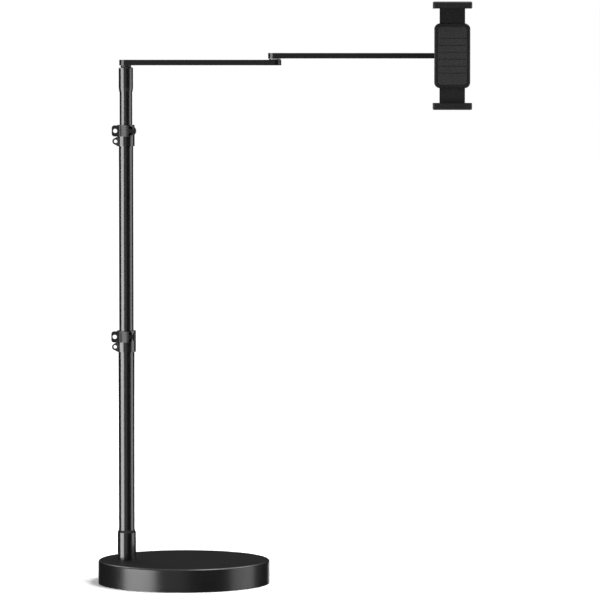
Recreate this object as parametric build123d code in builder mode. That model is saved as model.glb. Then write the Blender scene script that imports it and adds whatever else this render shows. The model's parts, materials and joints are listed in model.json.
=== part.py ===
from build123d import *
import os

os.makedirs("parts", exist_ok=True)

# Adjustable floor stand with a telescopic mast, two folding arms and a sprung holder. Millimetres, +Z up, the
# floor at Z = 0 under the middle of the round base, the arms towards +X, the front of the holder facing -Y.

# Fits
fixed_fit = 0.05
slide_fit = 0.06
running_fit = 0.05
face_gap = 0.3
overrun = 1.0

# Full circle, half and quarter circle, in degrees, and the sides of a nut
circle_angle = 360.0
half_circle = circle_angle / 2
quarter_circle = circle_angle / 4
hexagon_sides = 6

# Base
base_radius = 150.0
base_height = 40.7
cover_clearance = 0.5
cover_wall = 1.6
cover_top_bevel = 3.2
cover_inner_bevel = 1.8
mat_thickness = 2.0
mat_inset = 3.0
weight_rim_gap = 0.4
weight_thickness = 12.0
weight_boss_radius = 26.0

# Pole socket on the base and the bolt that holds it from below
pole_rim_distance = 50.0
socket_radius = 16.2
socket_height = 51.8
socket_floor = 18.5
socket_bevel_height = 4.0
socket_bevel_depth = 1.3
pole_bolt_radius = 5.0
pole_bolt_grip = 15.0
pole_bolt_head_flats = 17.0
pole_bolt_head_height = 6.4
pole_bolt_flange_radius = 11.0
pole_bolt_flange_thickness = 2.0
pole_bolt_pocket_radius = 13.0
pole_bolt_pocket_depth = 9.5

# Telescopic mast
tube_wall = 1.2
lower_tube_radius = 14.0
middle_tube_radius = 12.5
upper_tube_radius = 11.0
lower_clamp_height = 405.3
middle_tube_overlap = 100.0
middle_tube_shown = 321.7
upper_tube_overlap = 306.0
upper_tube_shown = 57.5
slider_length = 12.0
slider_plug_length = 12.0

# Flip lock clamps
collar_height = 37.0
collar_grip = 19.0
collar_wall = 2.5
lever_foot = 17.0
lever_height = 19.4
knuckle_height = 7.0
lug_height = 15.8
lug_shift = 3.5
lug_gap = 0.3
lug_radius = 4.0
lug_clearance = 0.5
pin_radius = 1.5
pin_length = 13.0
knuckle_radius = 4.0
knuckle_gap = 0.2
cam_radius = 3.8
cam_throw = 1.2
cam_gap = 0.05
shoe_width = 7.6
shoe_height = 6.4
shoe_gap = 0.2
lever_gap = 0.4
lever_thickness = 3.2
lever_face_radius = 24.0
lever_face_shift = 8.5
lever_front_reach = 9.0
lever_face_end = 5.3
lever_end_round = 1.4
link_root_inset = 3.0
link_width = 6.0
flare_radius = 3.0
tab_recess = 0.8
tab_reach = 9.3
tab_corner_round = 4.6
tab_hole_radius = 3.7
tab_hole_inset = 6.0
groove_depth = 0.5
groove_width = 1.5
groove_heights_share = (0.29, 0.65)
groove_start_angle = 226.0
groove_sweep_angle = 32.0
eye_radius = 5.7
eye_hole_radius = 3.0
eye_thickness = 3.4
eye_foot = 8.4
eye_offset = 3.1
eye_root = 0.5
eye_web_angle = 28.0
lower_pin_angle = -53.0
upper_pin_angle = -42.0

# Mast head
head_radius = 12.5
head_taper_height = 7.0
head_taper_depth = 0.9
head_height = 42.5
head_floor = 8.0
head_bevel = 1.4
neck_radius = 9.25
neck_height = 3.5
stud_radius = 4.0
stud_height = 7.0

# Arms
arm_width = 23.0
arm_thickness = 9.7
arm_wall = 1.5
arm_corner_round = 1.4
arm_1_length = 259.0
arm_2_length = 307.0
arm_end_length = 19.0
arm_plug_length = 16.0
nut_pocket_radius = 8.3
nut_pocket_floor = 4.0
nut_flats = 13.0
nut_height = 3.6
nut_gap = 0.2
cap_thickness = 1.4
elbow_washer_radius = 10.2
elbow_washer_thickness = 2.1
elbow_head_radius = 6.6
elbow_head_height = 3.4
elbow_head_pocket_radius = 7.0
elbow_head_pocket_depth = 3.8

# Wrist
tongue_radius = 7.0
tongue_length = 26.0
tongue_shoulder_length = 1.5
tongue_taper_length = 3.5
yoke_gap = 0.2
yoke_plate = 3.5
yoke_radius = 8.0
yoke_web_reach = 13.5
yoke_web_thickness = 4.5
wrist_bolt_radius = 3.0
wrist_bolt_head_radius = 5.2
wrist_bolt_head_height = 3.0
wrist_nut_flats = 10.0
wrist_nut_height = 3.4
tilt_reach = 30.0
ear_radius = 8.5
ear_thickness = 4.0
ear_gap = 14.0
tilt_bolt_radius = 3.0
tilt_bolt_head_radius = 5.5
tilt_bolt_head_height = 3.0
tilt_barrel_radius = 8.0
tilt_barrel_gap = 0.2
tilt_neck_height = 12.0
tilt_disc_radius = 17.0
tilt_disc_thickness = 4.8
tilt_disc_reach = 16.8
spindle_radius = 5.0
spindle_screw_radius = 2.0
spindle_screw_depth = 9.0
retainer_radius = 9.0
retainer_thickness = 2.0
knob_radius = 11.0
knob_thickness = 9.0
knob_hub_radius = 6.5
knob_hub_height = 4.5
knob_lobe_count = 6
knob_scallop_radius = 3.6
knob_scallop_circle_radius = 12.8
knob_bore_depth = 11.0

# Holder
holder_width = 62.0
holder_length = 112.0
holder_depth = 10.2
holder_wall = 2.0
holder_corner_round = 10.0
holder_edge_bevel = 1.6
holder_boss_radius = 10.0
holder_boss_height = 1.4
cover_thickness = 2.6
pad_margin = 6.0
pad_thickness = 1.6
pad_corner_round = 6.0
pad_groove_width = 1.6
pad_groove_depth = 0.6
pad_groove_pitch = 12.0
pad_groove_count = 6
runner_width = 1.8
runner_places = (12.8, 18.6)
guide_width = 1.4
guide_length = 11.0
post_size = 5.0
post_inset_x = 5.6
post_inset_z = 7.0
anchor_size = 2.4
anchor_height = 4.6
anchor_place = 42.0

# Jaws
jaw_gap = 172.0
jaw_plate_thickness = 3.5
jaw_plate_width = 44.0
jaw_rail_margin = 1.0
jaw_crotch = 52.0
jaw_side_gap = 0.3
jaw_width = 67.5
hook_thickness = 4.2
hook_lip_length = 11.3
hook_lip_thickness = 3.2
hook_reach = 21.8
hook_corner_round = 2.4
hook_top_bevel = 2.0
hook_inner_round = 1.2
hook_root_length = 12.0
jaw_pad_thickness = 3.1
jaw_pad_lip = 0.9
jaw_pad_inset = 3.0
lug_length = 5.0
lug_width = 4.0
lug_place = 20.0
spring_radius = 2.5
spring_wire = 0.7

# Heights and places that follow from the sizes above
pole_offset = base_radius - pole_rim_distance
cover_underside = base_height - cover_wall
lower_tube_foot = base_height + socket_floor
lower_tube_top = lower_clamp_height + collar_grip
lower_clamp_top = lower_clamp_height + collar_height
upper_clamp_height = lower_clamp_top + middle_tube_shown
upper_clamp_top = upper_clamp_height + collar_height
head_foot_height = upper_clamp_top + upper_tube_shown
middle_tube_foot = lower_clamp_top - middle_tube_overlap
middle_tube_top = upper_clamp_height + collar_grip
upper_tube_foot = upper_clamp_top - upper_tube_overlap
head_top = head_foot_height + head_height
upper_tube_top = head_top - head_floor
arm_1_floor = head_top + neck_height
arm_1_top = arm_1_floor + arm_thickness
arm_2_floor = arm_1_top + elbow_washer_thickness
arm_2_top = arm_2_floor + arm_thickness
arm_2_middle = arm_2_floor + arm_thickness / 2
elbow_x = arm_1_length - pole_offset
wrist_x = elbow_x + arm_2_length
holder_back_reach = tilt_reach + tilt_disc_reach
cover_reach = holder_back_reach + holder_depth
pad_reach = cover_reach + cover_thickness
jaw_back_reach = cover_reach - face_gap - jaw_plate_thickness


def mast_plane(height):
    """The level at this height, centred on the pole."""
    return Plane(origin=(-pole_offset, 0, height))


def arm_plane(x, height):
    """The level at this height, centred on a place along the arms."""
    return Plane(origin=(x, 0, height))


def section_plane(x, height):
    """The section across an arm, with its first axis along Y and its second along Z."""
    return Plane(origin=(x, 0, height), x_dir=(0, 1, 0), z_dir=(1, 0, 0))


def holder_plane(reach, side=1):
    """The holder's front view at this reach from the arm; side -1 turns it half a turn."""
    return Plane(origin=(wrist_x, -reach, arm_2_middle), x_dir=(side, 0, 0), z_dir=(0, -1, 0))


# Base cover, a pressed round shell open below, with the same bevel inside and out
inner_radius = base_radius - cover_wall
with BuildPart() as base_cover:
    with BuildSketch(Plane.XZ):
        with BuildLine():
            Polyline(
                (base_radius, cover_clearance),
                (base_radius, base_height - cover_top_bevel),
                (base_radius - cover_top_bevel, base_height),
                (0, base_height),
                (0, cover_underside),
                (inner_radius - cover_inner_bevel, cover_underside),
                (inner_radius, cover_underside - cover_inner_bevel),
                (inner_radius, cover_clearance),
                close=True,
            )
        make_face()
    revolve(axis=Axis.Z)
    with BuildSketch(mast_plane(cover_underside)):
        Circle(pole_bolt_radius + face_gap)
    extrude(amount=cover_wall, mode=Mode.SUBTRACT)
base_cover.part.label = "base_cover"
export_step(base_cover.part, "parts/base_cover.step")

# Cast ballast disc, with a boss under the pole that carries the cover
with BuildPart() as base_weight:
    with BuildSketch(Plane.XY.offset(mat_thickness)):
        Circle(base_radius - cover_wall - weight_rim_gap)
    extrude(amount=weight_thickness)
    with BuildSketch(mast_plane(mat_thickness)):
        Circle(weight_boss_radius)
    extrude(amount=cover_underside - mat_thickness)
    with BuildSketch(mast_plane(mat_thickness)):
        Circle(pole_bolt_pocket_radius)
    extrude(amount=pole_bolt_pocket_depth, mode=Mode.SUBTRACT)
    with BuildSketch(mast_plane(mat_thickness)):
        Circle(pole_bolt_radius + face_gap)
    extrude(amount=cover_underside, mode=Mode.SUBTRACT)
base_weight.part.label = "base_weight"
export_step(base_weight.part, "parts/base_weight.step")

# Rubber mat glued under the ballast disc, with a hole for the key of the pole bolt
with BuildPart() as base_mat:
    with BuildSketch(Plane.XY):
        Circle(base_radius - cover_wall - weight_rim_gap - mat_inset)
        with Locations((-pole_offset, 0)):
            Circle(pole_bolt_pocket_radius, mode=Mode.SUBTRACT)
    extrude(amount=mat_thickness)
base_mat.part.label = "base_mat"
export_step(base_mat.part, "parts/base_mat.step")

# Pole socket, turned, with a bevelled mouth
with BuildPart() as pole_socket:
    with BuildSketch(mast_plane(base_height)):
        Circle(socket_radius)
    extrude(amount=socket_height)
    chamfer(
        pole_socket.edges().group_by(Axis.Z)[-1],
        length=socket_bevel_height,
        length2=socket_bevel_depth,
        reference=pole_socket.faces().filter_by(GeomType.CYLINDER)[0],
    )
    with BuildSketch(mast_plane(lower_tube_foot)):
        Circle(lower_tube_radius + fixed_fit)
    extrude(amount=socket_height, mode=Mode.SUBTRACT)
    with BuildSketch(mast_plane(base_height)):
        Circle(pole_bolt_radius + fixed_fit)
    extrude(amount=pole_bolt_grip + overrun, mode=Mode.SUBTRACT)
pole_socket.part.label = "pole_socket"
export_step(pole_socket.part, "parts/pole_socket.step")

# Flanged bolt that pulls the socket down on the cover and the ballast
bolt_seat = mat_thickness + pole_bolt_pocket_depth
with BuildPart() as pole_bolt:
    with BuildSketch(mast_plane(bolt_seat)):
        Circle(pole_bolt_flange_radius)
    extrude(amount=-pole_bolt_flange_thickness)
    with BuildSketch(mast_plane(bolt_seat - pole_bolt_flange_thickness)):
        RegularPolygon(pole_bolt_head_flats / 2, hexagon_sides, major_radius=False)
    extrude(amount=-pole_bolt_head_height)
    with BuildSketch(mast_plane(bolt_seat)):
        Circle(pole_bolt_radius)
    extrude(amount=base_height + pole_bolt_grip - bolt_seat)
pole_bolt.part.label = "pole_bolt"
export_step(pole_bolt.part, "parts/pole_bolt.step")


def mast_tube(name, radius, foot, top):
    """One drawn tube of the mast."""
    with BuildPart() as tube:
        with BuildSketch(mast_plane(foot)):
            Circle(radius)
            Circle(radius - tube_wall, mode=Mode.SUBTRACT)
        extrude(amount=top - foot)
    tube.part.label = name
    export_step(tube.part, f"parts/{name}.step")


def slide_plug(name, radius, bore_radius, foot):
    """The plastic plug on the foot of a sliding tube, which guides it in the tube outside."""
    with BuildPart() as plug:
        with BuildSketch(mast_plane(foot)):
            Circle(bore_radius - slide_fit)
        extrude(amount=-slider_length)
        with BuildSketch(mast_plane(foot)):
            Circle(radius - tube_wall - fixed_fit)
        extrude(amount=slider_plug_length)
    plug.part.label = name
    export_step(plug.part, f"parts/{name}.step")


mast_tube("lower_tube", lower_tube_radius, lower_tube_foot, lower_tube_top)
mast_tube("middle_tube", middle_tube_radius, middle_tube_foot, middle_tube_top)
mast_tube("upper_tube", upper_tube_radius, upper_tube_foot, upper_tube_top)
slide_plug(
    "middle_tube_slider", middle_tube_radius, lower_tube_radius - tube_wall, middle_tube_foot
)
slide_plug("upper_tube_slider", upper_tube_radius, middle_tube_radius - tube_wall, upper_tube_foot)


def lug_outline(pin_distance, pin_angle):
    """Plan of the hinge lugs: a round end about the pin and a web back to the collar."""
    with PolarLocations(pin_distance, 1, pin_angle):
        Circle(lug_radius)
    with PolarLocations(pin_distance / 2, 1, pin_angle):
        Rectangle(pin_distance, 2 * lug_radius)


def clamp(name, clamp_height, outer_tube_radius, inner_tube_radius, pin_angle):
    """A flip lock: collar, hinge pin, brake shoe and cam lever, round the mast at this height."""
    collar_radius = outer_tube_radius + collar_wall
    pin_distance = collar_radius + knuckle_radius + knuckle_gap
    bore_radius = inner_tube_radius + slide_fit
    lever_floor = clamp_height + lever_foot
    lever_middle = lever_floor + lever_height / 2
    lug_floor = lever_middle - lug_height / 2
    lug_centre_x = Vector(pin_distance, 0).rotate(Axis.Z, pin_angle).X - lug_shift
    knuckle_floor = lever_middle - knuckle_height / 2
    slot_floor = knuckle_floor - lug_gap
    slot_height = knuckle_height + 2 * lug_gap
    shoe_reach = pin_distance - cam_radius - cam_throw - cam_gap
    front = Plane(
        origin=(-pole_offset, 0, lever_middle),
        x_dir=(1, 0, 0),
        z_dir=(0, -1, 0),
    )

    with BuildPart() as collar:
        with BuildSketch(mast_plane(clamp_height)):
            Circle(collar_radius)
        extrude(amount=collar_height)
        with BuildPart(mode=Mode.PRIVATE) as lugs:
            with BuildSketch(mast_plane(lug_floor)):
                lug_outline(pin_distance, pin_angle)
            extrude(amount=lug_height)
            with BuildSketch(front):
                with Locations((lug_centre_x, 0)):
                    Circle(lug_height / 2)
            extrude(amount=base_radius, mode=Mode.INTERSECT)
        add(lugs.part)
        with BuildSketch(mast_plane(slot_floor)):
            with PolarLocations(pin_distance, 1, pin_angle):
                Circle(knuckle_radius + knuckle_gap + lug_clearance)
            with PolarLocations(pin_distance / 2, 1, pin_angle):
                Rectangle(pin_distance, shoe_width + 2 * shoe_gap)
        extrude(amount=slot_height, mode=Mode.SUBTRACT)
        eye_plane = Plane(
            origin=(-pole_offset, eye_thickness / 2, clamp_height + eye_foot),
            x_dir=(1, 0, 0),
            z_dir=(0, -1, 0),
        )
        eye_x = -(collar_radius + eye_offset)
        with BuildSketch(eye_plane):
            with Locations((eye_x, 0)):
                Circle(eye_radius)
            web_touch = Vector(eye_x, 0) + Vector(0, eye_radius).rotate(Axis.Z, eye_web_angle)
            web_slope = Vector(1, 0).rotate(Axis.Z, eye_web_angle)
            web_root = -(collar_radius - eye_root)
            web_height = web_touch.Y + (web_root - web_touch.X) * web_slope.Y / web_slope.X
            with BuildLine():
                Polyline(
                    (web_touch.X, web_touch.Y),
                    (web_root, web_height),
                    (web_root, -web_height),
                    (web_touch.X, -web_touch.Y),
                    close=True,
                )
            make_face()
            with Locations((eye_x, 0)):
                Circle(eye_hole_radius, mode=Mode.SUBTRACT)
        extrude(amount=eye_thickness)
        with BuildSketch(mast_plane(clamp_height)):
            Circle(outer_tube_radius + fixed_fit)
        extrude(amount=collar_grip, mode=Mode.SUBTRACT)
        with BuildSketch(mast_plane(clamp_height)):
            Circle(bore_radius)
            with PolarLocations(pin_distance, 1, pin_angle):
                Circle(pin_radius + fixed_fit)
        extrude(amount=collar_height, mode=Mode.SUBTRACT)
    collar.part.label = f"{name}_collar"
    export_step(collar.part, f"parts/{name}_collar.step")

    with BuildPart() as pin:
        with BuildSketch(mast_plane(lever_middle - pin_length / 2)):
            with PolarLocations(pin_distance, 1, pin_angle):
                Circle(pin_radius)
        extrude(amount=pin_length)
    pin.part.label = f"{name}_pin"
    export_step(pin.part, f"parts/{name}_pin.step")

    with BuildPart() as shoe:
        with BuildSketch(mast_plane(slot_floor + (slot_height - shoe_height) / 2)):
            with PolarLocations(shoe_reach / 2, 1, pin_angle):
                Rectangle(shoe_reach, shoe_width)
            Circle(bore_radius, mode=Mode.SUBTRACT)
        extrude(amount=shoe_height)
    shoe.part.label = f"{name}_shoe"
    export_step(shoe.part, f"parts/{name}_shoe.step")

    inner_radius = collar_radius + lever_gap
    face_centre = (lever_face_shift, lever_face_radius - collar_radius - lever_front_reach)
    tab_x = -(collar_radius + tab_reach)
    tab_front = tab_recess - collar_radius
    tab_back = tab_front + lever_thickness
    link_root = (lever_face_end - link_root_inset, -(collar_radius + lever_front_reach / 2))
    with BuildPart() as lever:
        with BuildSketch(mast_plane(lever_floor)) as plan:
            with Locations(face_centre):
                Circle(lever_face_radius)
                Circle(lever_face_radius - lever_thickness, mode=Mode.SUBTRACT)
            with Locations((lever_face_end - base_radius / 2, tab_back - base_radius / 2)):
                Rectangle(base_radius, base_radius, mode=Mode.INTERSECT)
            with Locations((tab_x / 2, (tab_front + tab_back) / 2)):
                Rectangle(-tab_x, lever_thickness)
            Circle(inner_radius, mode=Mode.SUBTRACT)
            face_corner = plan.vertices().sort_by_distance((-inner_radius, tab_front))
            fillet(face_corner[0], flare_radius)
            end_corner = plan.vertices().group_by(Axis.X)[-1].sort_by(Axis.Y)[0]
            fillet(end_corner, lever_end_round)
        extrude(amount=lever_height)
        with BuildSketch(front.offset(-base_radius)):
            with Locations((tab_x + base_radius / 2, 0)):
                RectangleRounded(base_radius, lever_height, tab_corner_round)
        extrude(amount=2 * base_radius, mode=Mode.INTERSECT)
        for share in groove_heights_share:
            with BuildSketch(mast_plane(lever_floor + share * lever_height - groove_width / 2)):
                with BuildLine():
                    groove = CenterArc(
                        face_centre, lever_face_radius, groove_start_angle, groove_sweep_angle
                    )
                SlotArc(groove, 2 * groove_depth)
            extrude(amount=groove_width, mode=Mode.SUBTRACT)
        with BuildSketch(front):
            with Locations((tab_x + tab_hole_inset, 0)):
                Circle(tab_hole_radius)
        extrude(amount=base_radius, both=True, mode=Mode.SUBTRACT)
        with BuildSketch(mast_plane(knuckle_floor)):
            with BuildLine():
                link = Line(Vector(pin_distance, 0).rotate(Axis.Z, pin_angle), link_root)
            SlotArc(link, link_width)
            Circle(inner_radius, mode=Mode.SUBTRACT)
            with PolarLocations(pin_distance, 1, pin_angle):
                Circle(knuckle_radius)
            with PolarLocations(pin_distance - cam_throw, 1, pin_angle):
                Circle(cam_radius)
            with PolarLocations(pin_distance, 1, pin_angle):
                Circle(pin_radius + running_fit, mode=Mode.SUBTRACT)
        extrude(amount=knuckle_height)
    lever.part.label = f"{name}_lever"
    export_step(lever.part, f"parts/{name}_lever.step")


clamp(
    "lower_clamp", lower_clamp_height, lower_tube_radius, middle_tube_radius, lower_pin_angle
)
clamp(
    "upper_clamp", upper_clamp_height, middle_tube_radius, upper_tube_radius, upper_pin_angle
)

# Mast head: a sleeve on the upper tube with a tapered foot, and the swivel stud on top
head_bore_radius = upper_tube_radius + fixed_fit
with BuildPart() as mast_head:
    with BuildSketch(Plane(origin=(-pole_offset, 0, 0), x_dir=(1, 0, 0), z_dir=(0, -1, 0))):
        with BuildLine():
            Polyline(
                (0, upper_tube_top),
                (head_bore_radius, upper_tube_top),
                (head_bore_radius, head_foot_height),
                (head_radius - head_taper_depth, head_foot_height),
                (head_radius, head_foot_height + head_taper_height),
                (head_radius, head_top - head_bevel),
                (head_radius - head_bevel, head_top),
                (stud_radius, head_top),
                (stud_radius, arm_1_floor + stud_height),
                (0, arm_1_floor + stud_height),
                close=True,
            )
        make_face()
    revolve(axis=Axis((-pole_offset, 0, 0), (0, 0, 1)))
mast_head.part.label = "mast_head"
export_step(mast_head.part, "parts/mast_head.step")

# Friction washer that shows as the neck between mast head and arm
with BuildPart() as swivel_washer:
    with BuildSketch(mast_plane(head_top)):
        Circle(neck_radius)
        Circle(stud_radius + fixed_fit, mode=Mode.SUBTRACT)
    extrude(amount=neck_height)
swivel_washer.part.label = "swivel_washer"
export_step(swivel_washer.part, "parts/swivel_washer.step")


def thin_nut(name, x, seat, flats, height, bore_radius):
    """A thin hexagon nut on an upright bolt or stud."""
    with BuildPart() as nut:
        with BuildSketch(arm_plane(x, seat)):
            RegularPolygon(flats / 2, hexagon_sides, major_radius=False)
            Circle(bore_radius + fixed_fit, mode=Mode.SUBTRACT)
        extrude(amount=height)
    nut.part.label = name
    export_step(nut.part, f"parts/{name}.step")


def pocket_cap(name, x, top):
    """The flush disc that closes the pocket over a nut."""
    with BuildPart() as cap:
        with BuildSketch(arm_plane(x, top - cap_thickness)):
            Circle(nut_pocket_radius - fixed_fit)
        extrude(amount=cap_thickness)
    cap.part.label = name
    export_step(cap.part, f"parts/{name}.step")


def arm_tube(name, start, end, middle):
    """The flat hollow tube of an arm."""
    with BuildPart() as tube:
        with BuildSketch(section_plane(start, middle)):
            RectangleRounded(arm_width, arm_thickness, arm_corner_round)
            Rectangle(arm_width - 2 * arm_wall, arm_thickness - 2 * arm_wall, mode=Mode.SUBTRACT)
        extrude(amount=end - start)
    tube.part.label = name
    export_step(tube.part, f"parts/{name}.step")


def arm_plug(start, length, middle):
    """The tongue of an arm's end piece, inside the tube; a negative length runs towards -X."""
    inside_width = arm_width - 2 * arm_wall - 2 * fixed_fit
    inside_height = arm_thickness - 2 * arm_wall - 2 * fixed_fit
    with BuildSketch(section_plane(start, middle)) as tongue:
        Rectangle(inside_width, inside_height)
    extrude(tongue.sketch, amount=length)


def arm_end(name, x, floor, side, bore_radius, pocket_radius, pocket_from):
    """A round hinge end of an arm: side 1 has its tube towards +X. The pocket runs up from pocket_from
    to the top, or down from it to the underside."""
    with BuildPart() as end:
        with BuildSketch(arm_plane(x, floor)):
            Circle(arm_width / 2)
            with Locations((side * arm_end_length / 2, 0)):
                Rectangle(arm_end_length, arm_width)
        extrude(amount=arm_thickness)
        with BuildSketch(arm_plane(x, floor)):
            Circle(bore_radius)
        extrude(amount=arm_thickness, mode=Mode.SUBTRACT)
        upwards = pocket_from > floor + elbow_head_pocket_depth
        with BuildSketch(arm_plane(x, pocket_from)):
            Circle(pocket_radius)
        extrude(amount=arm_thickness if upwards else -arm_thickness, mode=Mode.SUBTRACT)
        arm_plug(x + side * arm_end_length, side * arm_plug_length, floor + arm_thickness / 2)
    end.part.label = name
    export_step(end.part, f"parts/{name}.step")


# Arm 1, from the mast to the elbow
arm_1_middle = arm_1_floor + arm_thickness / 2
arm_end(
    "arm_1_swivel_end",
    -pole_offset,
    arm_1_floor,
    1,
    stud_radius + running_fit,
    nut_pocket_radius,
    arm_1_floor + nut_pocket_floor,
)
thin_nut(
    "swivel_nut", -pole_offset, arm_1_floor + nut_pocket_floor + nut_gap, nut_flats, nut_height - nut_gap,
    stud_radius,
)
pocket_cap("swivel_cap", -pole_offset, arm_1_top)
arm_tube("arm_1_tube", arm_end_length - pole_offset, elbow_x - arm_end_length, arm_1_middle)
arm_end(
    "arm_1_elbow_end",
    elbow_x,
    arm_1_floor,
    -1,
    stud_radius + fixed_fit,
    elbow_head_pocket_radius,
    arm_1_floor + elbow_head_pocket_depth,
)

# Elbow: the pale washer between the arms, and the bolt and nut hidden in the arm ends
with BuildPart() as elbow_washer:
    with BuildSketch(arm_plane(elbow_x, arm_1_top)):
        Circle(elbow_washer_radius)
        Circle(stud_radius + fixed_fit, mode=Mode.SUBTRACT)
    extrude(amount=elbow_washer_thickness)
elbow_washer.part.label = "elbow_washer"
export_step(elbow_washer.part, "parts/elbow_washer.step")

elbow_nut_seat = arm_2_floor + nut_pocket_floor + nut_gap
with BuildPart() as elbow_bolt:
    with BuildSketch(arm_plane(elbow_x, arm_1_floor + elbow_head_pocket_depth)):
        Circle(elbow_head_radius)
    extrude(amount=-elbow_head_height)
    with BuildSketch(arm_plane(elbow_x, arm_1_floor + elbow_head_pocket_depth)):
        Circle(stud_radius)
    extrude(amount=elbow_nut_seat + nut_height - nut_gap - arm_1_floor - elbow_head_pocket_depth)
    with BuildSketch(arm_plane(elbow_x, arm_1_floor + elbow_head_pocket_depth - elbow_head_height)):
        RegularPolygon(stud_radius / 2, hexagon_sides)
    extrude(amount=elbow_head_height / 2, mode=Mode.SUBTRACT)
elbow_bolt.part.label = "elbow_bolt"
export_step(elbow_bolt.part, "parts/elbow_bolt.step")

thin_nut("elbow_nut", elbow_x, elbow_nut_seat, nut_flats, nut_height - nut_gap, stud_radius)

# Arm 2, from the elbow to the wrist
arm_end(
    "arm_2_elbow_end",
    elbow_x,
    arm_2_floor,
    1,
    stud_radius + running_fit,
    nut_pocket_radius,
    arm_2_floor + nut_pocket_floor,
)
pocket_cap("elbow_cap", elbow_x, arm_2_top)
arm_tube("arm_2_tube", elbow_x + arm_end_length, wrist_x - tongue_length, arm_2_middle)

with BuildPart() as arm_2_wrist_end:
    shoulder_x = wrist_x - tongue_length + tongue_shoulder_length
    taper_x = shoulder_x + tongue_taper_length
    with BuildSketch(Plane.XY.offset(arm_2_floor)):
        with BuildLine():
            Polyline(
                (wrist_x, tongue_radius),
                (taper_x, tongue_radius),
                (shoulder_x, arm_width / 2),
                (wrist_x - tongue_length, arm_width / 2),
                (wrist_x - tongue_length, -arm_width / 2),
                (shoulder_x, -arm_width / 2),
                (taper_x, -tongue_radius),
                (wrist_x, -tongue_radius),
            )
            CenterArc((wrist_x, 0), tongue_radius, -quarter_circle, half_circle)
        make_face()
        with Locations((wrist_x, 0)):
            Circle(wrist_bolt_radius + running_fit, mode=Mode.SUBTRACT)
    extrude(amount=arm_thickness)
    arm_plug(wrist_x - tongue_length, -arm_plug_length, arm_2_middle)
arm_2_wrist_end.part.label = "arm_2_wrist_end"
export_step(arm_2_wrist_end.part, "parts/arm_2_wrist_end.step")

# Wrist yoke: a clevis round the arm's tongue, a web, and two ears for the tilt block
yoke_floor = arm_2_floor - yoke_gap - yoke_plate
yoke_height = arm_thickness + 2 * (yoke_gap + yoke_plate)
web_front = yoke_web_reach + yoke_web_thickness
ear_width = ear_gap + 2 * ear_thickness
side_view = Plane(origin=(wrist_x, 0, arm_2_middle), x_dir=(0, 1, 0), z_dir=(1, 0, 0))
with BuildPart() as wrist_yoke:
    with BuildSketch(arm_plane(wrist_x, yoke_floor)):
        Circle(yoke_radius)
        with Locations((0, -web_front / 2)):
            Rectangle(2 * yoke_radius, web_front)
    extrude(amount=yoke_height)
    with BuildSketch(side_view):
        with BuildLine():
            Polyline(
                (-tilt_reach, ear_radius),
                (-web_front, yoke_height / 2),
                (-yoke_web_reach, yoke_height / 2),
                (-yoke_web_reach, -yoke_height / 2),
                (-web_front, -yoke_height / 2),
                (-tilt_reach, -ear_radius),
            )
            CenterArc((-tilt_reach, 0), ear_radius, quarter_circle, half_circle)
        make_face()
    extrude(amount=ear_width / 2, both=True)
    with BuildSketch(arm_plane(wrist_x, arm_2_floor - yoke_gap)):
        Rectangle(2 * ear_width, 2 * yoke_web_reach)
    extrude(amount=arm_thickness + 2 * yoke_gap, mode=Mode.SUBTRACT)
    with BuildSketch(arm_plane(wrist_x, yoke_floor)):
        with Locations((0, -web_front - tilt_reach / 2)):
            Rectangle(ear_gap, tilt_reach)
    extrude(amount=yoke_height, mode=Mode.SUBTRACT)
    with BuildSketch(arm_plane(wrist_x, yoke_floor)):
        Circle(wrist_bolt_radius + fixed_fit)
    extrude(amount=yoke_height, mode=Mode.SUBTRACT)
    with BuildSketch(side_view):
        with Locations((-tilt_reach, 0)):
            Circle(tilt_bolt_radius + fixed_fit)
    extrude(amount=ear_width, both=True, mode=Mode.SUBTRACT)
wrist_yoke.part.label = "wrist_yoke"
export_step(wrist_yoke.part, "parts/wrist_yoke.step")

with BuildPart() as wrist_bolt:
    with BuildSketch(arm_plane(wrist_x, yoke_floor + yoke_height)):
        Circle(wrist_bolt_head_radius)
    extrude(amount=wrist_bolt_head_height)
    with BuildSketch(arm_plane(wrist_x, yoke_floor + yoke_height)):
        Circle(wrist_bolt_radius)
    extrude(amount=-yoke_height - wrist_nut_height)
wrist_bolt.part.label = "wrist_bolt"
export_step(wrist_bolt.part, "parts/wrist_bolt.step")

thin_nut(
    "wrist_nut", wrist_x, yoke_floor - wrist_nut_height, wrist_nut_flats, wrist_nut_height,
    wrist_bolt_radius,
)

# Tilt bolt across the ears, its head on the arm's side and its thread in the knob
tilt_line = Plane(origin=(wrist_x, -tilt_reach, arm_2_middle), x_dir=(0, 1, 0), z_dir=(1, 0, 0))
with BuildPart() as tilt_bolt:
    with BuildSketch(tilt_line.offset(-ear_width / 2)):
        Circle(tilt_bolt_head_radius)
    extrude(amount=-tilt_bolt_head_height)
    with BuildSketch(tilt_line.offset(-ear_width / 2)):
        Circle(tilt_bolt_radius)
    extrude(amount=ear_width + face_gap + knob_bore_depth - overrun)
tilt_bolt.part.label = "tilt_bolt"
export_step(tilt_bolt.part, "parts/tilt_bolt.step")

# Lobed knob that tightens the tilt
with BuildPart() as tilt_knob:
    with BuildSketch(tilt_line.offset(ear_width / 2 + face_gap)):
        Circle(knob_hub_radius)
    extrude(amount=knob_hub_height)
    with BuildSketch(tilt_line.offset(ear_width / 2 + face_gap + knob_hub_height)):
        Circle(knob_radius)
        with PolarLocations(knob_scallop_circle_radius, knob_lobe_count):
            Circle(knob_scallop_radius, mode=Mode.SUBTRACT)
    extrude(amount=knob_thickness)
    with BuildSketch(tilt_line.offset(ear_width / 2 + face_gap)):
        Circle(tilt_bolt_radius + running_fit)
    extrude(amount=knob_bore_depth, mode=Mode.SUBTRACT)
tilt_knob.part.label = "tilt_knob"
export_step(tilt_knob.part, "parts/tilt_knob.step")

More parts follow.
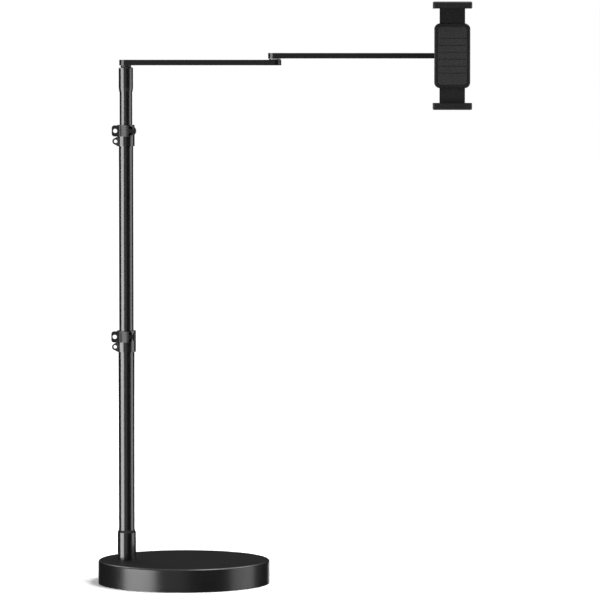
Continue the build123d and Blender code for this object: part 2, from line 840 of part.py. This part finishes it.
# Tilt block: a barrel between the ears, a neck, the disc behind the holder and the spindle it turns on
barrel_width = ear_gap - 2 * tilt_barrel_gap
disc_back_reach = tilt_reach + tilt_disc_reach - tilt_disc_thickness
disc_front_reach = tilt_reach + tilt_disc_reach
spindle_end_reach = holder_back_reach + holder_wall + holder_boss_height + fixed_fit
with BuildPart() as tilt_block:
    with BuildSketch(tilt_line):
        Circle(tilt_barrel_radius)
    extrude(amount=barrel_width / 2, both=True)
    with BuildSketch(holder_plane(tilt_reach)):
        Rectangle(barrel_width, tilt_neck_height)
    extrude(amount=disc_back_reach - tilt_reach)
    with BuildSketch(holder_plane(disc_back_reach)):
        Circle(tilt_disc_radius)
    extrude(amount=tilt_disc_thickness)
    with BuildSketch(holder_plane(disc_front_reach)):
        Circle(spindle_radius)
    extrude(amount=spindle_end_reach - disc_front_reach)
    with BuildSketch(tilt_line):
        Circle(tilt_bolt_radius + running_fit)
    extrude(amount=barrel_width, both=True, mode=Mode.SUBTRACT)
    with BuildSketch(holder_plane(spindle_end_reach)):
        Circle(spindle_screw_radius + fixed_fit)
    extrude(amount=-spindle_screw_depth - overrun, mode=Mode.SUBTRACT)
tilt_block.part.label = "tilt_block"
export_step(tilt_block.part, "parts/tilt_block.step")

# Wide headed screw on the end of the spindle, inside the holder
with BuildPart() as rotation_screw:
    with BuildSketch(holder_plane(spindle_end_reach)):
        Circle(retainer_radius)
    extrude(amount=retainer_thickness)
    with BuildSketch(holder_plane(spindle_end_reach)):
        Circle(spindle_screw_radius)
    extrude(amount=-spindle_screw_depth)
rotation_screw.part.label = "rotation_screw"
export_step(rotation_screw.part, "parts/rotation_screw.step")

# Holder back shell: tray with runners for the jaw rails, guides, corner posts and spring anchors
post_x = holder_width / 2 - post_inset_x
post_z = holder_length / 2 - post_inset_z
spring_x = jaw_plate_width / 2 + lug_length - spring_radius / 2
floor_reach = holder_back_reach + holder_wall
with BuildPart() as holder_back:
    with BuildSketch(holder_plane(holder_back_reach)):
        RectangleRounded(holder_width, holder_length, holder_corner_round)
    extrude(amount=holder_depth)
    chamfer(holder_back.edges().group_by(Axis.Y)[-1], holder_edge_bevel)
    with BuildSketch(holder_plane(floor_reach)):
        RectangleRounded(
            holder_width - 2 * holder_wall,
            holder_length - 2 * holder_wall,
            holder_corner_round - holder_wall,
        )
    extrude(amount=holder_depth, mode=Mode.SUBTRACT)
    with BuildSketch(holder_plane(floor_reach)):
        Circle(holder_boss_radius)
    extrude(amount=holder_boss_height)
    runner_length = holder_length - 2 * holder_wall
    with BuildSketch(holder_plane(floor_reach)):
        for place in runner_places:
            with Locations((place, 0), (-place, 0)):
                Rectangle(runner_width, runner_length)
    extrude(amount=jaw_back_reach - face_gap - floor_reach)
    guide_x = jaw_plate_width / 2 + jaw_side_gap + guide_width / 2
    guide_z = (runner_length - guide_length) / 2
    with BuildSketch(holder_plane(floor_reach)):
        with Locations(*[(x, z) for x in (guide_x, -guide_x) for z in (guide_z, -guide_z)]):
            Rectangle(guide_width, guide_length)
        with GridLocations(2 * post_x, 2 * post_z, 2, 2):
            Rectangle(post_size, post_size)
    extrude(amount=cover_reach - floor_reach)
    with BuildSketch(holder_plane(floor_reach)):
        with Locations((-spring_x, -anchor_place), (spring_x, anchor_place)):
            Rectangle(anchor_size, anchor_size)
    extrude(amount=anchor_height)
    with BuildSketch(holder_plane(jaw_back_reach - face_gap)):
        Rectangle(jaw_plate_width + 2 * jaw_side_gap, holder_length + overrun)
    extrude(amount=holder_depth, mode=Mode.SUBTRACT)
    with BuildSketch(holder_plane(holder_back_reach)):
        Circle(spindle_radius + running_fit)
    extrude(amount=holder_depth, mode=Mode.SUBTRACT)
holder_back.part.label = "holder_back"
export_step(holder_back.part, "parts/holder_back.step")

# Front cover of the holder and the rubber pad on it
with BuildPart() as holder_cover:
    with BuildSketch(holder_plane(cover_reach)):
        RectangleRounded(holder_width, holder_length, holder_corner_round)
    extrude(amount=cover_thickness)
    chamfer(holder_cover.edges().group_by(Axis.Y)[0], cover_thickness / 2)
holder_cover.part.label = "holder_cover"
export_step(holder_cover.part, "parts/holder_cover.step")

with BuildPart() as holder_pad:
    with BuildSketch(holder_plane(pad_reach)):
        RectangleRounded(
            holder_width - 2 * pad_margin, holder_length - 2 * pad_margin, pad_corner_round
        )
    extrude(amount=pad_thickness)
    with BuildSketch(holder_plane(pad_reach + pad_thickness - pad_groove_depth)):
        with GridLocations(0, pad_groove_pitch, 1, pad_groove_count):
            Rectangle(holder_width, pad_groove_width)
    extrude(amount=pad_groove_depth, mode=Mode.SUBTRACT)
holder_pad.part.label = "holder_pad"
export_step(holder_pad.part, "parts/holder_pad.step")


def jaw(name, side):
    """A jaw: a plate with one rail inside the holder, a lug for its spring, and the hook at its end.
    The lower jaw, side -1, is the same piece turned half a turn."""
    jaw_face = jaw_gap / 2
    hook_floor = jaw_face + jaw_pad_thickness
    hook_top = hook_floor + hook_thickness
    half_width = jaw_plate_width / 2
    hook_front = jaw_back_reach + hook_reach
    with BuildPart() as piece:
        with BuildSketch(holder_plane(jaw_back_reach, side)):
            with Locations((0, (jaw_crotch + hook_floor) / 2)):
                Rectangle(jaw_plate_width, hook_floor - jaw_crotch)
            with Locations((-(half_width + jaw_rail_margin) / 2, jaw_crotch / 2)):
                Rectangle(half_width - jaw_rail_margin, jaw_crotch)
            with Locations((-half_width - lug_length / 2, lug_place)):
                Rectangle(lug_length, lug_width)
            with Locations((0, hook_top - hook_root_length / 2)):
                Rectangle(jaw_width, hook_root_length)
        extrude(amount=jaw_plate_thickness)
        with BuildSketch(holder_plane(jaw_back_reach, side)):
            with Locations((0, (hook_floor + hook_top) / 2)):
                Rectangle(jaw_width, hook_thickness)
        extrude(amount=hook_reach)
        with BuildSketch(holder_plane(hook_front - hook_lip_thickness, side)):
            with Locations((0, hook_top - hook_lip_length / 2)):
                Rectangle(jaw_width, hook_lip_length)
        extrude(amount=hook_lip_thickness)
        outer = piece.edges().filter_by(Axis.Y).group_by(Axis.Z)[-1 if side > 0 else 0]
        fillet(outer, hook_corner_round)
        front = piece.edges().filter_by(Axis.X).group_by(Axis.Y)[0]
        chamfer(front.sort_by(Axis.Z)[-1 if side > 0 else 0], hook_top_bevel)
    piece.part.label = f"{name}_jaw"
    export_step(piece.part, f"parts/{name}_jaw.step")

    pad_width = jaw_width - 2 * jaw_pad_inset
    pad_back = jaw_back_reach + jaw_plate_thickness
    with BuildPart() as pad:
        with BuildSketch(holder_plane(pad_back, side)):
            with Locations((0, (jaw_face + hook_floor) / 2)):
                Rectangle(pad_width, jaw_pad_thickness)
        extrude(amount=hook_front - hook_lip_thickness - pad_back)
        with BuildSketch(holder_plane(hook_front - hook_lip_thickness - jaw_pad_lip, side)):
            lip_foot = hook_top - hook_lip_length + hook_inner_round
            with Locations((0, (lip_foot + hook_floor) / 2)):
                Rectangle(pad_width, hook_floor - lip_foot)
        extrude(amount=jaw_pad_lip)
    pad.part.label = f"{name}_jaw_pad"
    export_step(pad.part, f"parts/{name}_jaw_pad.step")

    with BuildPart() as spring:
        with BuildSketch(
            Plane(
                origin=(
                    wrist_x - side * spring_x,
                    -(cover_reach - face_gap - spring_radius),
                    arm_2_middle - side * (anchor_place - anchor_size / 2 - face_gap),
                ),
                z_dir=(0, 0, side),
            )
        ):
            Circle(spring_radius)
            Circle(spring_radius - spring_wire, mode=Mode.SUBTRACT)
        extrude(
            amount=anchor_place - anchor_size / 2 + lug_place - lug_width / 2 - 2 * face_gap
        )
    spring.part.label = f"{name}_jaw_spring"
    export_step(spring.part, f"parts/{name}_jaw_spring.step")


jaw("upper", 1)
jaw("lower", -1)
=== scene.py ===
import json
import math

import bmesh
import bpy
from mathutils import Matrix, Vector


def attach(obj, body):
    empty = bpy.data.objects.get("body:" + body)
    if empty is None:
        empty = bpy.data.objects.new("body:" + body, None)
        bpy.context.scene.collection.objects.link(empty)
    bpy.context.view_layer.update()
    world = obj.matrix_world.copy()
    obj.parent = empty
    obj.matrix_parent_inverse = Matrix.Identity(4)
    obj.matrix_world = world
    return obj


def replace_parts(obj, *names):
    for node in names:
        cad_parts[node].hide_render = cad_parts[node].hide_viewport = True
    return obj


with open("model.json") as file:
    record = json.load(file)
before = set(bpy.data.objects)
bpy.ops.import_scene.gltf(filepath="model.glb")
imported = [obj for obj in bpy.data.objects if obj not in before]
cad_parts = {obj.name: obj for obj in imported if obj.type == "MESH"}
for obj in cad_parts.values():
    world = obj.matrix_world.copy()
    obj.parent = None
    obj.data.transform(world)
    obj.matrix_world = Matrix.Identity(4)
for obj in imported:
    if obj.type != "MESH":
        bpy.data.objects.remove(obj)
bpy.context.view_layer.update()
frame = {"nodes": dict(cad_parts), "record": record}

# Adjustable floor stand: finishes, softened edges, small fasteners, studio and camera round the fixed frame.
# Metres, +Z up, the viewer looks along +Y.

# Photograph
photo_pixels = 600
pixel_size = 0.001745
photo_middle_x = 0.2030
photo_middle_z = 0.4956
camera_distance = 7.65
camera_height = 0.924
sensor_width = 36.0
far_clip = 100.0

# Edges
edge_bevel = 0.0004
fine_bevel = 0.00015
bevel_steps = 2
bevel_angle = math.radians(32)
smooth_angle = math.radians(30)
merge_distance = 0.000001

# Base cover
base_radius = 0.150
base_height = 0.0407
cover_clearance = 0.0005
cover_wall = 0.0016
rim_round = 0.0036
rim_inner_round = 0.0022
rim_steps = 10
rim_support = 0.0003
turned_sides = 192

# Mast and holder, where the small screws sit
mast_x = -0.100
holder_x = 0.466
holder_z = 0.92115
holder_back_y = -0.0468
holder_screw_column = 0.0235
holder_screw_row = 0.047

# Small screws: radius, height and width across the socket's flats
set_screw_size = (0.0027, 0.0012, 0.0025)
holder_screw_size = (0.0026, 0.0012, 0.0024)
set_screw_sink = 0.0003
screw_sides = 48
screw_round_steps = 5
screw_round_share = 0.7
socket_land_share = 1.25
socket_rim_share = 0.94
socket_floor_share = 0.25
socket_face_angle = math.pi / 3

# Texture of the finishes
drift_scale = 24.0
drift_detail = 3.0
grain_detail = 2.0
noise_low = 0.3
noise_high = 0.7
gloss_drift = 0.07

# Studio
room_light = 0.05
wall = 0.011
pale = 0.6
floor_edge = -0.24
ceiling_edge = 0.42
edge_blur = 0.12
floor_tone = 0.9
seen_floor_tone = 1.4
near_glow = 0.1
near_radius = 0.2
far_radius = 1.2
floor_size = 60.0
studio_middle = Vector((0.05, 0, 0.25))

# Lamps: azimuth and elevation in degrees, distance, width, height and radiance. Azimuth 0 is the camera's side and
# 90 is to its right.
softboxes = {
    "key": (-61, 0, 5.0, 4.4, 2.2, 6.1),
    "fill": (87, 0, 5.0, 3.8, 2.2, 1.9),
    "front": (-8, 0, 5.0, 2.4, 2.2, 0.42),
    "back": (178, -16, 5.0, 3.0, 2.2, 1.6),
    "top": (58, 62, 4.0, 2.0, 1.6, 12.0),
    "back_right": (120, 45, 4.0, 2.8, 1.4, 3.5),
    "back_left": (-140, 42, 4.0, 1.8, 1.4, 3.0),
}


def node_input(node, name, value):
    """Sets a socket to a plain value, or links it where the value is another node's output."""
    if isinstance(value, bpy.types.NodeSocket):
        node.id_data.links.new(value, node.inputs[name])
    else:
        node.inputs[name].default_value = value


def add_node(tree, kind, inputs=(), **settings):
    """Makes a node, with its settings and its inputs."""
    node = tree.nodes.new(kind)
    for key, value in settings.items():
        setattr(node, key, value)
    for name, value in dict(inputs).items():
        node_input(node, name, value)
    return node


def map_range(tree, value, source, target):
    """A value mapped from the source range to the target range."""
    ranges = {"Value": value, "From Min": source[0], "From Max": source[1], "To Min": target[0], "To Max": target[1]}
    return add_node(tree, "ShaderNodeMapRange", ranges).outputs["Result"]


def finish(name, colour, vary, roughness, grain_scale, grain_depth, stretch=(1, 1, 1), **shader_values):
    """A finish with a slow drift of tone, an uneven gloss and a fine grain in its surface."""
    material = bpy.data.materials.new(name)
    material.use_nodes = True
    tree = material.node_tree
    shader = tree.nodes["Principled BSDF"]
    place = add_node(tree, "ShaderNodeTexCoord").outputs["Object"]
    scaled = add_node(tree, "ShaderNodeMapping", {"Vector": place, "Scale": stretch}).outputs["Vector"]
    drift_inputs = {"Vector": scaled, "Scale": drift_scale, "Detail": drift_detail}
    drift = add_node(tree, "ShaderNodeTexNoise", drift_inputs).outputs["Fac"]
    grain_inputs = {"Vector": scaled, "Scale": grain_scale, "Detail": grain_detail}
    grain = add_node(tree, "ShaderNodeTexNoise", grain_inputs).outputs["Fac"]
    ramp = add_node(tree, "ShaderNodeValToRGB", {"Fac": drift})
    stops = ramp.color_ramp.elements
    for stop, position, share in ((stops[0], noise_low, 1 - vary), (stops[1], noise_high, 1 + vary)):
        stop.position = position
        stop.color = [c * share for c in colour] + [1]
    tree.links.new(ramp.outputs["Color"], shader.inputs["Base Color"])
    for socket, value in shader_values.items():
        shader.inputs[socket.replace("_", " ")].default_value = value
    gloss = (roughness * (1 - gloss_drift), roughness * (1 + gloss_drift))
    tree.links.new(map_range(tree, drift, (noise_low, noise_high), gloss), shader.inputs["Roughness"])
    bump = add_node(tree, "ShaderNodeBump", {"Strength": 1.0, "Distance": grain_depth, "Height": grain})
    tree.links.new(bump.outputs["Normal"], shader.inputs["Normal"])
    return material


def calm_top(material, top_values):
    """Makes the faces that look straight up less glossy than the sides: the values that they have there."""
    tree = material.node_tree
    shader = tree.nodes["Principled BSDF"]
    normal = add_node(tree, "ShaderNodeTexCoord").outputs["Normal"]
    upward = add_node(tree, "ShaderNodeSeparateXYZ", {"Vector": normal}).outputs["Z"]
    for name, value in top_values.items():
        socket = shader.inputs[name]
        side = socket.links[0].from_socket if socket.is_linked else socket.default_value
        tree.links.new(map_range(tree, upward, level_faces, (side, value)), socket)


gloss_coat = {"Coat_Weight": 1.0, "Coat_Roughness": 0.13}
satin_coat = {"Coat_Weight": 0.5, "Coat_Roughness": 0.24}
arm_gloss = {"Coat_Weight": 0.5, "Coat_Roughness": 0.16, "Specular_IOR_Level": 0.3}
metal = {"Metallic": 1.0}
finishes = {
    "base_paint": finish("base_coat", (0.006, 0.006, 0.0062), 0.06, 0.33, 500, 0.0000005, **satin_coat),
    "cast_ballast": finish("cast_iron", (0.035, 0.034, 0.033), 0.2, 0.7, 700, 0.00008),
    "mat_rubber": finish("mat_rubber", (0.018, 0.018, 0.018), 0.1, 0.75, 500, 0.00004),
    "mast_paint": finish("mast_coat", (0.005, 0.005, 0.0052), 0.06, 0.3, 400, 0.0000001, **gloss_coat),
    "clamp_plastic": finish("clamp_plastic", (0.009, 0.009, 0.0093), 0.06, 0.34, 1400, 0.000002),
    "bolt_steel": finish("zinc_steel", (0.5, 0.5, 0.51), 0.08, 0.3, 900, 0.000002, **metal),
    "black_screw": finish("black_steel", (0.03, 0.03, 0.032), 0.1, 0.35, 900, 0.000002, Metallic=0.6),
    "slide_plastic": finish("pale_nylon", (0.62, 0.62, 0.6), 0.03, 0.45, 700, 0.000002),
    "shoe_plastic": finish("dark_nylon", (0.022, 0.022, 0.023), 0.08, 0.42, 700, 0.000002),
    "washer_grey": finish("grey_washer", (0.5, 0.5, 0.5), 0.05, 0.4, 900, 0.000002),
    "arm_paint": finish("arm_coat", (0.005, 0.005, 0.0052), 0.06, 0.3, 400, 0.0000001, **arm_gloss),
    "cap_plastic": finish("cap_plastic", (0.012, 0.012, 0.0125), 0.06, 0.38, 1400, 0.000002),
    "yoke_paint": finish("yoke_coat", (0.01, 0.01, 0.0104), 0.06, 0.34, 700, 0.000001, **satin_coat),
    "holder_plastic": finish("holder_plastic", (0.012, 0.012, 0.0124), 0.06, 0.38, 1500, 0.000003),
    "pad_rubber": finish("pad_rubber", (0.016, 0.016, 0.016), 0.08, 0.7, 900, 0.00001),
    "spring_steel": finish("spring_steel", (0.45, 0.45, 0.46), 0.06, 0.3, 900, 0.000002, **metal),
}
collar_finish = finish("clamp_collar", (0.006, 0.006, 0.0062), 0.06, 0.32, 1400, 0.0000005, **gloss_coat)

# Base top, a little less glossy than its side
level_faces = (0.9, 1.0)
calm_top(finishes["base_paint"], {"Roughness": 0.5, "Coat Weight": 0.0, "Specular IOR Level": 0.1})

# Finishes and softened edges on the frame's own pieces
glossy_nodes = ("lower_clamp_collar", "upper_clamp_collar")
sharp_nodes = ("upper_jaw_spring", "lower_jaw_spring")
thin_nodes = ("elbow_washer", "swivel_cap", "elbow_cap", "holder_pad")
for entry in frame["record"]["subparts"]:
    piece = frame["nodes"][entry["node"]]
    piece.data.materials.clear()
    glossy = entry["node"] in glossy_nodes
    piece.data.materials.append(collar_finish if glossy else finishes[entry["material_slot"]])
    if entry["node"] in sharp_nodes:
        continue
    bevel = piece.modifiers.new("soft_edges", "BEVEL")
    bevel.width = fine_bevel if entry["node"] in thin_nodes else edge_bevel
    bevel.segments = bevel_steps
    bevel.limit_method = "ANGLE"
    bevel.angle_limit = bevel_angle
    bevel.harden_normals = False


def add_piece(name, shape, body, slot):
    """Turns a bmesh into a piece of the stand, smooth but for its sharp edges."""
    bmesh.ops.recalc_face_normals(shape, faces=shape.faces)
    for face in shape.faces:
        face.smooth = True
    mesh = bpy.data.meshes.new(name)
    shape.to_mesh(mesh)
    shape.free()
    mesh.set_sharp_from_angle(angle=smooth_angle)
    mesh.materials.append(finishes[slot])
    piece = bpy.data.objects.new(name, mesh)
    bpy.context.scene.collection.objects.link(piece)
    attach(piece, body)
    return piece


def corner(radius, height, size, steps):
    """Points of a round corner, from the side wall up to the top, with the corner at this radius and height."""
    angles = [math.pi / 2 * k / steps for k in range(steps + 1)]
    return [(radius - size + size * math.cos(a), height - size + size * math.sin(a)) for a in angles]


# Base cover with its rim pressed round
cover = bmesh.new()
inner_radius = base_radius - cover_wall
underside = base_height - cover_wall
outline = [(0, base_height), (base_radius - rim_round - rim_support, base_height)]
outline += corner(base_radius, base_height, rim_round, rim_steps)[::-1]
outline += [(base_radius, base_height - rim_round - rim_support), (base_radius, cover_clearance)]
outline += [(inner_radius, cover_clearance)]
outline += corner(inner_radius, underside, rim_inner_round, rim_steps)
outline += [(0, underside)]
points = [cover.verts.new((radius, 0, height)) for radius, height in outline]
edges = [cover.edges.new(pair) for pair in zip(points, points[1:])]
bmesh.ops.spin(
    cover,
    geom=points + edges,
    cent=(0, 0, 0),
    axis=(0, 0, 1),
    angle=2 * math.pi,
    steps=turned_sides,
    use_merge=True,
)
bmesh.ops.remove_doubles(cover, verts=cover.verts, dist=merge_distance)
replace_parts(add_piece("base_cover_pressed", cover, "base", "base_paint"), "base_cover")


def socket_screw(name, body, seat, size):
    """A low screw head with a round edge and a hexagonal socket, standing on its seat and facing +Y."""
    radius, height, flats_width = size
    shape = bmesh.new()
    flats = flats_width / 2
    rings = [(radius, 0, False)]
    rings += [(r, h, False) for r, h in corner(radius, height, height * screw_round_share, screw_round_steps)]
    rings += [(flats * socket_land_share, height, False)]
    rings += [(flats, height * socket_rim_share, True), (flats, height * socket_floor_share, True)]
    turn = Vector((0, 1, 0)).to_track_quat("Z", "Y")
    loops = []
    for ring_radius, ring_height, is_socket in rings:
        loop = []
        for k in range(screw_sides):
            angle = 2 * math.pi * k / screw_sides
            reach = ring_radius
            if is_socket:
                reach /= math.cos(angle % socket_face_angle - socket_face_angle / 2)
            point = Vector((reach * math.cos(angle), reach * math.sin(angle), ring_height))
            loop.append(shape.verts.new(Vector(seat) + turn @ point))
        loops.append(loop)
    for low, high in zip(loops, loops[1:]):
        for k in range(screw_sides):
            j = (k + 1) % screw_sides
            shape.faces.new((low[k], low[j], high[j], high[k]))
    shape.faces.new(loops[0][::-1])
    shape.faces.new(loops[-1])
    add_piece(name, shape, body, "black_screw")


# Set screws at the back of the mast's fittings: body, radius and height of the place
set_screws = {
    "socket_screw": ("base", 0.0162, 0.066),
    "lower_collar_screw": ("base", 0.0165, 0.4150),
    "upper_collar_screw": ("middle_mast", 0.0150, 0.7737),
    "mast_head_screw": ("upper_mast", 0.0125, 0.8830),
}
for name, (body, radius, height) in set_screws.items():
    socket_screw(name, body, (mast_x, radius - set_screw_sink, height), set_screw_size)

# Four screws that hold the two halves of the holder together
for column in (-1, 1):
    for row in (-1, 1):
        place = (holder_x + column * holder_screw_column, holder_back_y, holder_z + row * holder_screw_row)
        name = "holder_screw_{}{}".format("lr"[column > 0], "bt"[row > 0])
        socket_screw(name, "holder", place, holder_screw_size)

# Floor: white to the camera, with the stand's shadow on it, and a pale floor to everything else
floor_mesh = bpy.data.meshes.new("floor")
half = floor_size / 2
corners = [(-half, -half, 0), (half, -half, 0), (half, half, 0), (-half, half, 0)]
floor_mesh.from_pydata(corners, [], [(0, 1, 2, 3)])
floor = bpy.data.objects.new("floor", floor_mesh)
bpy.context.scene.collection.objects.link(floor)
floor_material = bpy.data.materials.new("floor_paper")
floor_material.use_nodes = True
tree = floor_material.node_tree
tree.nodes.remove(tree.nodes["Principled BSDF"])
output = tree.nodes["Material Output"]
place = add_node(tree, "ShaderNodeTexCoord").outputs["Object"]
away = add_node(tree, "ShaderNodeVectorMath", {0: place}, operation="LENGTH").outputs["Value"]
glow_strength = map_range(tree, away, (near_radius, far_radius), (near_glow, 1.0))
paper = add_node(tree, "ShaderNodeBsdfDiffuse", {"Color": (floor_tone, floor_tone, floor_tone, 1)})
seen_colour = (seen_floor_tone, seen_floor_tone, seen_floor_tone, 1)
seen_paper = add_node(tree, "ShaderNodeBsdfDiffuse", {"Color": seen_colour})
glow = add_node(tree, "ShaderNodeEmission", {"Strength": glow_strength})
lit = add_node(tree, "ShaderNodeAddShader")
tree.links.new(seen_paper.outputs["BSDF"], lit.inputs[0])
tree.links.new(glow.outputs["Emission"], lit.inputs[1])
path = add_node(tree, "ShaderNodeLightPath")
seen = add_node(tree, "ShaderNodeMixShader", {"Fac": path.outputs["Is Camera Ray"]})
tree.links.new(paper.outputs["BSDF"], seen.inputs[1])
tree.links.new(lit.outputs["Shader"], seen.inputs[2])
clear = add_node(tree, "ShaderNodeBsdfTransparent")
ray_kinds = {0: path.outputs["Is Glossy Ray"], 1: path.outputs["Is Shadow Ray"]}
open_to = add_node(tree, "ShaderNodeMath", ray_kinds, operation="MAXIMUM")
shown = add_node(tree, "ShaderNodeMixShader", {"Fac": open_to.outputs["Value"]})
tree.links.new(seen.outputs["Shader"], shown.inputs[1])
tree.links.new(clear.outputs["BSDF"], shown.inputs[2])
tree.links.new(shown.outputs["Shader"], output.inputs["Surface"])
floor_mesh.materials.append(floor_material)

# World: white to the camera, a dim room to diffuse rays, and to glossy rays a studio with dark walls between a
# pale ceiling and a pale floor
world = bpy.data.worlds.new("studio")
bpy.context.scene.world = world
world.use_nodes = True
tree = world.node_tree
background = tree.nodes["Background"]
background.inputs["Color"].default_value = (1, 1, 1, 1)
direction = add_node(tree, "ShaderNodeTexCoord").outputs["Generated"]
height = add_node(tree, "ShaderNodeSeparateXYZ", {"Vector": direction}).outputs["Z"]
floor_side = map_range(tree, height, (floor_edge - edge_blur, floor_edge), (pale, wall))
ceiling_side = map_range(tree, height, (ceiling_edge, ceiling_edge + edge_blur), (wall, pale))
studio = add_node(tree, "ShaderNodeMath", {0: floor_side, 1: ceiling_side}, operation="MAXIMUM")
path = add_node(tree, "ShaderNodeLightPath")
to_glossy = map_range(tree, path.outputs["Is Glossy Ray"], (0.0, 1.0), (room_light, studio.outputs["Value"]))
to_camera = map_range(tree, path.outputs["Is Camera Ray"], (0.0, 1.0), (to_glossy, 1.0))
tree.links.new(to_camera, background.inputs["Strength"])

# Softboxes: rectangular lamps with the same brightness all over, turned to the middle of the stand
for name, (azimuth, elevation, distance, width, height, radiance) in softboxes.items():
    lamp = bpy.data.lights.new(name, "AREA")
    lamp.shape = "RECTANGLE"
    lamp.size, lamp.size_y = width, height
    lamp.energy = radiance * width * height * math.pi
    box = bpy.data.objects.new(name, lamp)
    bpy.context.scene.collection.objects.link(box)
    turn, rise = math.radians(azimuth), math.radians(elevation)
    towards = Vector((math.sin(turn) * math.cos(rise), -math.cos(turn) * math.cos(rise), math.sin(rise)))
    box.location = studio_middle + distance * towards
    box.rotation_mode = "QUATERNION"
    box.rotation_quaternion = (-towards).to_track_quat("-Z", "Y")

# Camera at the photograph's angle, a little above the middle and far away
camera = bpy.data.cameras.new("camera")
camera_object = bpy.data.objects.new("camera", camera)
bpy.context.scene.collection.objects.link(camera_object)
target = Vector((photo_middle_x, 0, photo_middle_z))
camera_object.location = Vector((photo_middle_x, -camera_distance, camera_height))
reach = (target - camera_object.location).length
camera.sensor_width = sensor_width
camera.lens = camera.sensor_width * reach / (photo_pixels * pixel_size)
camera.clip_end = far_clip
camera_object.rotation_mode = "QUATERNION"
camera_object.rotation_quaternion = (target - camera_object.location).to_track_quat("-Z", "Y")
bpy.context.scene.camera = camera_object

bpy.context.scene.view_settings.view_transform = "Standard"
